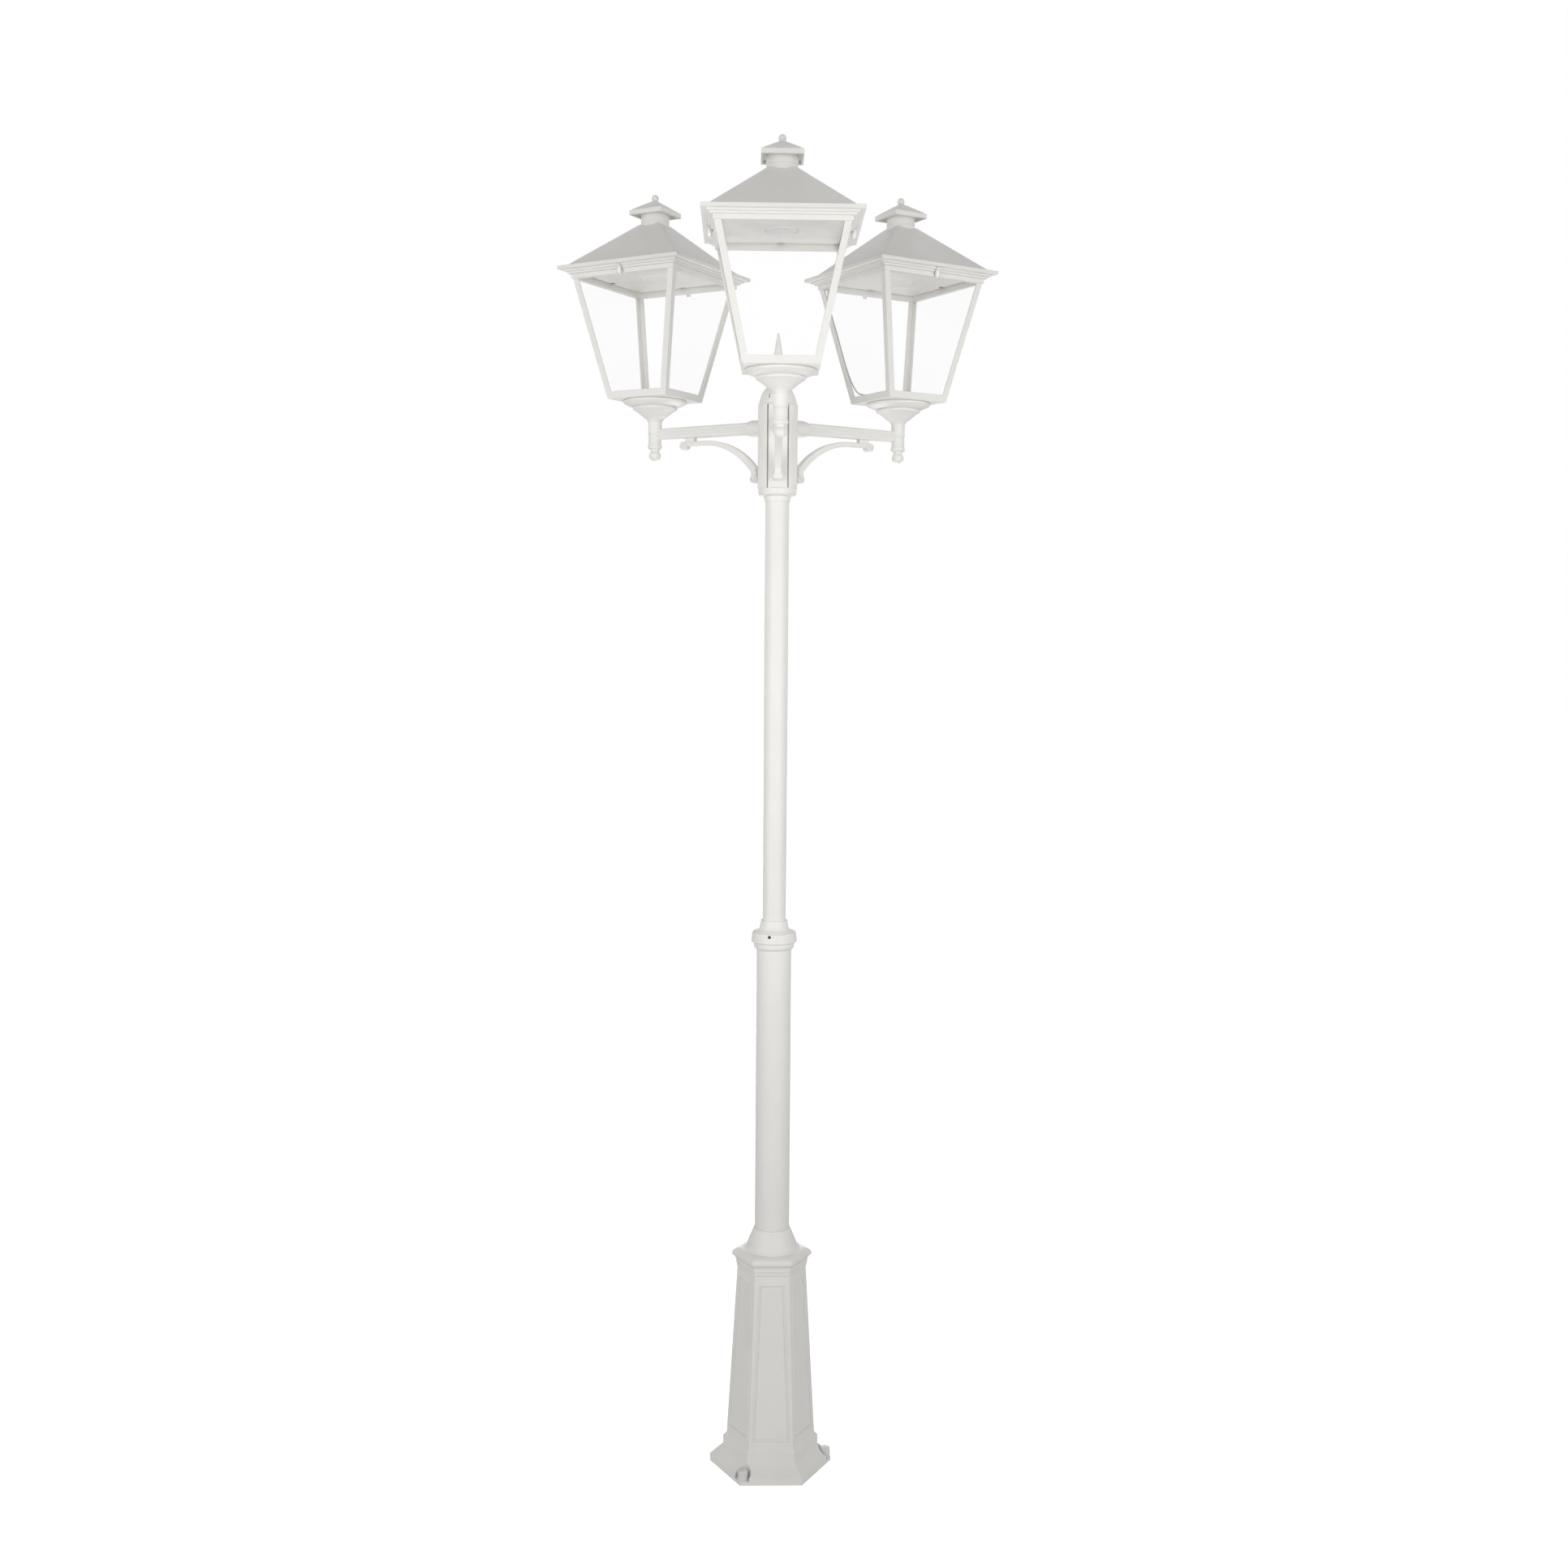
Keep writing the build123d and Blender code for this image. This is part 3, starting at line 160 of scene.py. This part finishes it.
def powderCoat(name, values):
    paint = Paint(bpy.data.materials.new(name))
    place = paint.place()
    cloud = paint.noise(place, *values["cloud"])
    grain = paint.noise(place, *values["grain"])
    peel = paint.noise(place, *values["peel"])
    tint = paint.blend(paint.ramp(cloud, *values["shadeRange"]), values["colour"], values["shade"])
    roughness = (values["roughness"] + (grain - noiseMean) * values["grainSwing"]
                 + (cloud - noiseMean) * values["cloudSwing"])
    edge = paint.node("ShaderNodeBevel", {"samples": values["edgeSamples"]},
                      {"Radius": values["edge"]})
    peeled = paint.bump(peel, values["peelHeight"], edge)
    return paint.surface({
        "Base Color": tint, "Roughness": roughness,
        "Normal": paint.bump(grain, values["grainHeight"], peeled)})


# Metals and plastics have a fine grain, and a faint cloud of a darker shade of their colour.
metalValues = {
    "metallic": 1.0, "grain": (900.0, 3.0, 0.6), "grainHeight": 0.00004, "grainSwing": 0.2,
    "cloud": (60.0, 2.0, 0.5), "shade": 0.75, "shadeRange": (0.3, 0.7)}
plasticValues = {
    "metallic": 0.0, "grain": (1800.0, 2.0, 0.6), "grainHeight": 0.00003, "grainSwing": 0.1,
    "cloud": (25.0, 2.0, 0.5), "shade": 0.94, "shadeRange": (0.35, 0.7)}
screwMetalValues = dict(metalValues, shade=0.95)


def plainFinish(name, colour, roughness, values):
    paint = Paint(bpy.data.materials.new(name))
    place = paint.place()
    grain = paint.noise(place, *values["grain"])
    cloud = paint.noise(place, *values["cloud"])
    shade = (*(level * values["shade"] for level in colour[:3]), 1.0)
    return paint.surface({
        "Base Color": paint.blend(paint.ramp(cloud, *values["shadeRange"]), colour, shade),
        "Roughness": roughness + (grain - noiseMean) * values["grainSwing"],
        "Metallic": values["metallic"],
        "Normal": paint.bump(grain, values["grainHeight"])})


paneValues = {
    "colour": (0.93, 0.97, 0.96, 1.0), "index": 1.45, "cover": 0.006, "rimCover": 0.06,
    "smear": (9.0, 3.0, 0.6), "roughness": 0.03, "smearSwing": 0.05}


def clearPane(name, values):
    paint = Paint(bpy.data.materials.new(name))
    rim = paint.node("ShaderNodeFresnel", {}, {"IOR": values["index"]})
    smear = paint.noise(paint.place(), *values["smear"])
    return paint.surface({
        "Base Color": values["colour"],
        "Roughness": values["roughness"] + smear * values["smearSwing"],
        "Alpha": values["cover"] + rim * values["rimCover"]})


materials = {
    "coat": powderCoat("powderCoat", coatValues),
    "castCoat": powderCoat("castCoat", castCoatValues),
    "zinc": plainFinish("zincSteel", (0.62, 0.62, 0.60, 1.0), 0.38, metalValues),
    "dark": plainFinish("darkSteel", (0.09, 0.09, 0.09, 1.0), 0.42, metalValues),
    "screw": plainFinish("screwMetal", (0.93, 0.92, 0.90, 1.0), 0.58, screwMetalValues),
    "sink": plainFinish("sinkAluminium", (0.70, 0.71, 0.72, 1.0), 0.34, metalValues),
    "cap": plainFinish("capPlastic", grey(0.78, 0.01), 0.38, plasticValues),
    "cable": plainFinish("greyCable", grey(0.60), 0.48, plasticValues),
    "bezel": plainFinish("bezelWhite", grey(0.97, 0.003), 0.24, plasticValues),
    "lens": plainFinish("opalLens", grey(0.90, 0.010), 0.35, plasticValues),
    "case": plainFinish("driverCase", grey(0.72), 0.42, plasticValues),
    "ceiling": plainFinish("ceilingWhite", grey(0.87, 0.020), 0.42, plasticValues),
    "pane": clearPane("clearPane", paneValues)}

# Every node that isn't named here has the plain coat.
nodeMaterials = {
    "base_pedestal": "castCoat", "anchor_nuts": "zinc", "anchor_caps": "cap",
    "collar_screws": "dark", "panes": "pane", "cable": "cable",
    "led_ring": "bezel", "led_lens": "lens", "led_heat_sink": "sink", "led_driver": "case",
    "ceiling_plate": "ceiling", "roof_screw_a": "screw", "roof_screw_b": "screw"}


def baseName(node):
    head, _, tail = node.rpartition("_")
    return head if tail in sides else node


for name, node in nodes.items():
    key = nodeMaterials.get(baseName(name), "coat")
    node.data.materials.clear()
    node.data.materials.append(materials[key])
print("materials set")

# Lantern pieces are placed along the arm (x), across it (y) and above the pipe's top (z).
lanternValues = {
    "armReach": 0.368, "pipeTop": 2.7320, "trayTop": 0.073,
    "footHalf": 0.0925, "headHalf": 0.1517, "postHeight": 0.2815}


def placeOnArm(side, point):
    along, across, rise = point
    return turnAbout(sides[side], "Z") @ Vector((
        lanternValues["armReach"] + along, across, lanternValues["pipeTop"] + rise))


# The cable leaves the tray's hole, lies in a low bow to one corner post and climbs it.
cableValues = {
    "radius": 0.0019, "inset": 0.0095, "order": 3, "steps": 10, "roundness": 4,
    # out and across as shares of the tray's half width, and the rise above the tray
    "bow": ((0, 0, -0.016), (0, 0, 0.010), (-0.31, 0.20, 0.010), (-0.58, 0.45, 0.005),
            (-0.80, 0.74, 0.006), (-0.885, 0.875, 0.018)),
    # the share of the post's height, and the sway beside it
    "climb": ((0.19, -0.0012), (0.36, 0.0006), (0.57, -0.0008), (0.78, 0.0007), (0.94, -0.0006)),
    "top": (-0.132, 0.1315, 0.384)}


def makeCable(side, values):
    foot, head = lanternValues["footHalf"], lanternValues["headHalf"]
    tray, post = lanternValues["trayTop"], lanternValues["postHeight"]
    points = [(out * foot, across * foot, tray + rise) for out, across, rise in values["bow"]]
    for share, sway in values["climb"]:
        half = foot + (head - foot) * share - values["inset"]
        points.append((-half, half + sway, tray + share * post))
    points.append(values["top"])
    data = bpy.data.curves.new("wire_" + side, "CURVE")
    data.dimensions = "3D"
    spline = data.splines.new("NURBS")
    spline.points.add(len(points) - 1)
    for knot, point in zip(spline.points, points):
        knot.co = (*placeOnArm(side, point), 1.0)
    spline.order_u, spline.use_endpoint_u = values["order"], True
    spline.resolution_u = values["steps"]
    data.bevel_depth, data.bevel_resolution = values["radius"], values["roundness"]
    data.use_fill_caps = True
    data.materials.append(materials["cable"])
    wire = addObject("wire_" + side, data)
    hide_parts("cable_" + side)
    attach(wire, "post")


def addCylinder(sideCount, radius, low, high, place=(0, 0)):
    bpy.ops.mesh.primitive_cylinder_add(
        vertices=sideCount, radius=radius, depth=high - low, location=(*place, (low + high) / 2))
    return bpy.context.object


def addBlock(place, degrees, size):
    bpy.ops.mesh.primitive_cube_add(size=1, location=place)
    block = bpy.context.object
    block.rotation_euler = (0, 0, math.radians(degrees))
    block.scale = size
    return block


def applyModifier(piece, kind, **settings):
    bpy.context.view_layer.objects.active = piece
    bpy.ops.object.modifier_add(type=kind)
    modifier = piece.modifiers[-1]
    for key, value in settings.items():
        setattr(modifier, key, value)
    bpy.ops.object.modifier_apply(modifier=modifier.name)


def cutWith(piece, cutter):
    applyModifier(piece, "BOOLEAN", object=cutter, operation="DIFFERENCE", solver="EXACT")
    bpy.data.objects.remove(cutter)


def copyTo(pattern, name, matrix):
    piece = pattern.copy()
    piece.data = pattern.data.copy()
    piece.name = piece.data.name = name
    piece.data.transform(matrix)
    bpy.context.scene.collection.objects.link(piece)
    return piece


# Each thumb screw has a knurled grip, a plain collar and a rounded end.
screwValues = {
    "across": 0.164, "top": 0.3696, "length": 0.0205,
    "grip": 0.0056, "ribs": 22, "groove": 0.93, "gripBevel": 0.00035, "gripSteps": 2,
    "end": 0.9, "endFlat": 0.5, "endSides": 40, "endRings": 20,   # end: a share of the grip
    "collar": 0.0058, "collarHeight": 0.0030, "collarSides": 48,
    "collarBevel": 0.0007, "collarSteps": 3,
    "shank": 0.0025, "shankLength": 0.012, "shankSides": 32, "smoothAngle": 40.0}


def makeThumbScrew(values):
    # modelled about its own axis, hanging down from z = 0
    deselectAll()
    endRadius = values["grip"] * values["end"]
    low = endRadius * values["endFlat"] - values["length"]
    grip = addCylinder(values["ribs"] * 2, values["grip"], low, -values["collarHeight"])
    for vertex in grip.data.vertices:
        if vertex.index // 2 % 2:   # every second upright edge is the bottom of a groove
            vertex.co.x *= values["groove"]
            vertex.co.y *= values["groove"]
    applyModifier(grip, "BEVEL", width=values["gripBevel"], segments=values["gripSteps"])
    bpy.ops.mesh.primitive_uv_sphere_add(
        segments=values["endSides"], ring_count=values["endRings"], radius=endRadius,
        location=(0, 0, low))
    end = bpy.context.object
    end.scale = (1.0, 1.0, values["endFlat"])
    collar = addCylinder(values["collarSides"], values["collar"], -values["collarHeight"], 0)
    applyModifier(collar, "BEVEL", width=values["collarBevel"], segments=values["collarSteps"])
    shank = addCylinder(values["shankSides"], values["shank"], 0, values["shankLength"])
    for part in (grip, end, collar, shank):
        part.select_set(True)
    bpy.context.view_layer.objects.active = grip
    bpy.ops.object.transform_apply(location=True, rotation=True, scale=True)
    bpy.ops.object.join()
    bpy.ops.object.shade_smooth_by_angle(angle=math.radians(values["smoothAngle"]))
    grip.data.materials.append(materials["screw"])
    return grip


# The ceiling plate has slots in its edges, a window for the light, two screw holes and a
# corner cut off for the cable. The front lantern's plate has slots in two edges alone.
plateValues = {
    "half": 0.1384, "low": 0.3675, "thick": 0.0020, "bevel": 0.0004, "bevelSteps": 2,
    "slotWidth": 0.0170, "slotDepth": 0.0115, "corner": 0.0120, "cutHeight": 1.0,
    "window": 0.0340, "windowSides": 96, "hole": 0.0016, "holeSides": 24, "holeOut": 0.112,
    "kinds": {"twoSlots": {"slots": (0, 180), "holes": (90, 270)},
              "fourSlots": {"slots": (0, 90, 180, 270), "holes": (0, 180)}},
    "kindAt": {"front": "twoSlots", "right": "fourSlots", "left": "fourSlots"}}


def turnedPoint(degrees, out):
    turn = math.radians(degrees)
    return (out * math.cos(turn), out * math.sin(turn))


def makeCeilingPlate(kind, values):
    # modelled flat about the origin
    deselectAll()
    half, reach = values["half"], values["cutHeight"] / 2
    plate = addBlock((0, 0, 0), 0, (2 * half, 2 * half, values["thick"]))
    bpy.ops.object.transform_apply(location=False, rotation=False, scale=True)
    slot = (2 * values["slotDepth"], values["slotWidth"], values["cutHeight"])
    for degrees in kind["slots"]:
        cutWith(plate, addBlock((*turnedPoint(degrees, half), 0), degrees, slot))
    across = math.sqrt(2) * values["corner"]
    cutWith(plate, addBlock((-half, half, 0), 45, (across, across, values["cutHeight"])))
    cutWith(plate, addCylinder(values["windowSides"], values["window"], -reach, reach))
    for degrees in kind["holes"]:
        place = turnedPoint(degrees, values["holeOut"])
        cutWith(plate, addCylinder(values["holeSides"], values["hole"], -reach, reach, place))
    applyModifier(plate, "BEVEL", width=values["bevel"], segments=values["bevelSteps"],
                  limit_method="ANGLE")
    plate.data.materials.append(materials["ceiling"])
    return plate


thumbScrew = makeThumbScrew(screwValues)
plates = {key: makeCeilingPlate(kind, plateValues) for key, kind in plateValues["kinds"].items()}
for side in sides:
    makeCable(side, cableValues)
    middle = placeOnArm(side, (0, 0, plateValues["low"] + plateValues["thick"] / 2))
    plate = copyTo(plates[plateValues["kindAt"][side]], "liner_" + side,
                   Matrix.Translation(middle) @ turnAbout(sides[side], "Z"))
    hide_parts("ceiling_plate_" + side)
    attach(plate, "lid_" + side)
    for label, hand in (("a", 1), ("b", -1)):
        place = placeOnArm(side, (0, hand * screwValues["across"], screwValues["top"]))
        knob = copyTo(thumbScrew, "knob_%s_%s" % (label, side), Matrix.Translation(place))
        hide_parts("roof_screw_%s_%s" % (label, side))
        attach(knob, "screw_%s_%s" % (label, side))
for pattern in (thumbScrew, *plates.values()):
    bpy.data.objects.remove(pattern)
print("cables, ceiling plates and thumb screws made")

# The world's level falls from worldLow at the horizon to worldHigh at worldTop and above.
stageValues = {
    "floorHalf": 40.0, "floorColour": (0.90, 0.90, 0.90, 1.0), "floorGlow": 0.80,
    "worldLow": 1.0, "worldHigh": 0.20, "worldTop": 0.8, "clearBounces": 32,
    "lamps": {
        "left": {"place": (-2.6, -4.2, 2.8), "aim": (0.0, 0.0, 2.6), "size": 2.2, "watts": 32.0},
        "right": {"place": (2.6, -4.2, 2.8), "aim": (0.0, 0.0, 2.6), "size": 2.2, "watts": 29.0},
        "lowLeft": {"place": (-1.3, -1.5, 1.8), "aim": (-0.1, 0.2, 3.4), "size": 1.2, "watts": 9.5},
        "lowRight": {"place": (1.3, -1.5, 1.8), "aim": (0.1, 0.2, 3.4), "size": 1.2, "watts": 9.5},
        "back": {"place": (0.0, 2.0, 1.1), "aim": (0.0, 0.1, 3.2), "size": 1.6, "watts": 22.0}}}


def makeFloor(values):
    deselectAll()
    bpy.ops.mesh.primitive_plane_add(size=2 * values["floorHalf"], location=(0, 0, 0))
    floor = bpy.context.object
    floor.name = "floor"
    paint = Paint(bpy.data.materials.new("paleFloor"))
    matt = paint.node("ShaderNodeBsdfDiffuse", {}, {"Color": values["floorColour"]})
    glow = paint.node("ShaderNodeEmission", {}, {
        "Color": white, "Strength": paint.ray("Is Camera Ray") * values["floorGlow"]})
    both = paint.node("ShaderNodeAddShader", {}, matt, glow)
    paint.node("ShaderNodeOutputMaterial", {}, {"Surface": both})
    floor.data.materials.append(paint.owner)


def makeLamp(name, lamp):
    data = bpy.data.lights.new(name, "AREA")
    data.shape, data.size, data.energy = "DISK", lamp["size"], lamp["watts"]
    light = addObject(name, data)
    light.location = lamp["place"]
    light.visible_camera = False
    light.rotation_mode = "QUATERNION"
    aim = Vector(lamp["aim"]) - Vector(lamp["place"])
    light.rotation_quaternion = aim.to_track_quat("-Z", "Y")


def makeWorld(values):
    bpy.context.scene.world = bpy.data.worlds.new("paleRoom")
    paint = Paint(bpy.context.scene.world)
    seen = paint.ray("Is Camera Ray")
    for kind in ("Is Glossy Ray", "Is Transmission Ray"):
        seen = paint.maths("MAXIMUM", seen, paint.ray(kind))
    # paler near the horizon than overhead, and white where it is seen
    height = paint.node("ShaderNodeSeparateXYZ", {}, paint.place("Generated"), out="Z")
    level = paint.ramp(height, 0.0, values["worldTop"], (values["worldLow"], values["worldHigh"]))
    background = paint.node("ShaderNodeBackground", {}, {
        "Color": white, "Strength": paint.ramp(seen, 0.0, 1.0, (level, 1.0))})
    paint.node("ShaderNodeOutputWorld", {}, {"Surface": background})


bpy.context.scene.view_settings.view_transform = "Standard"
# a line of sight can cross twelve faces of clear panes, and with fewer bounces it ends in black
bpy.context.scene.cycles.transparent_max_bounces = stageValues["clearBounces"]
makeCamera(cameraValues)
makeWorld(stageValues)
makeFloor(stageValues)
for name, lamp in stageValues["lamps"].items():
    makeLamp(name, lamp)
print("stage set")
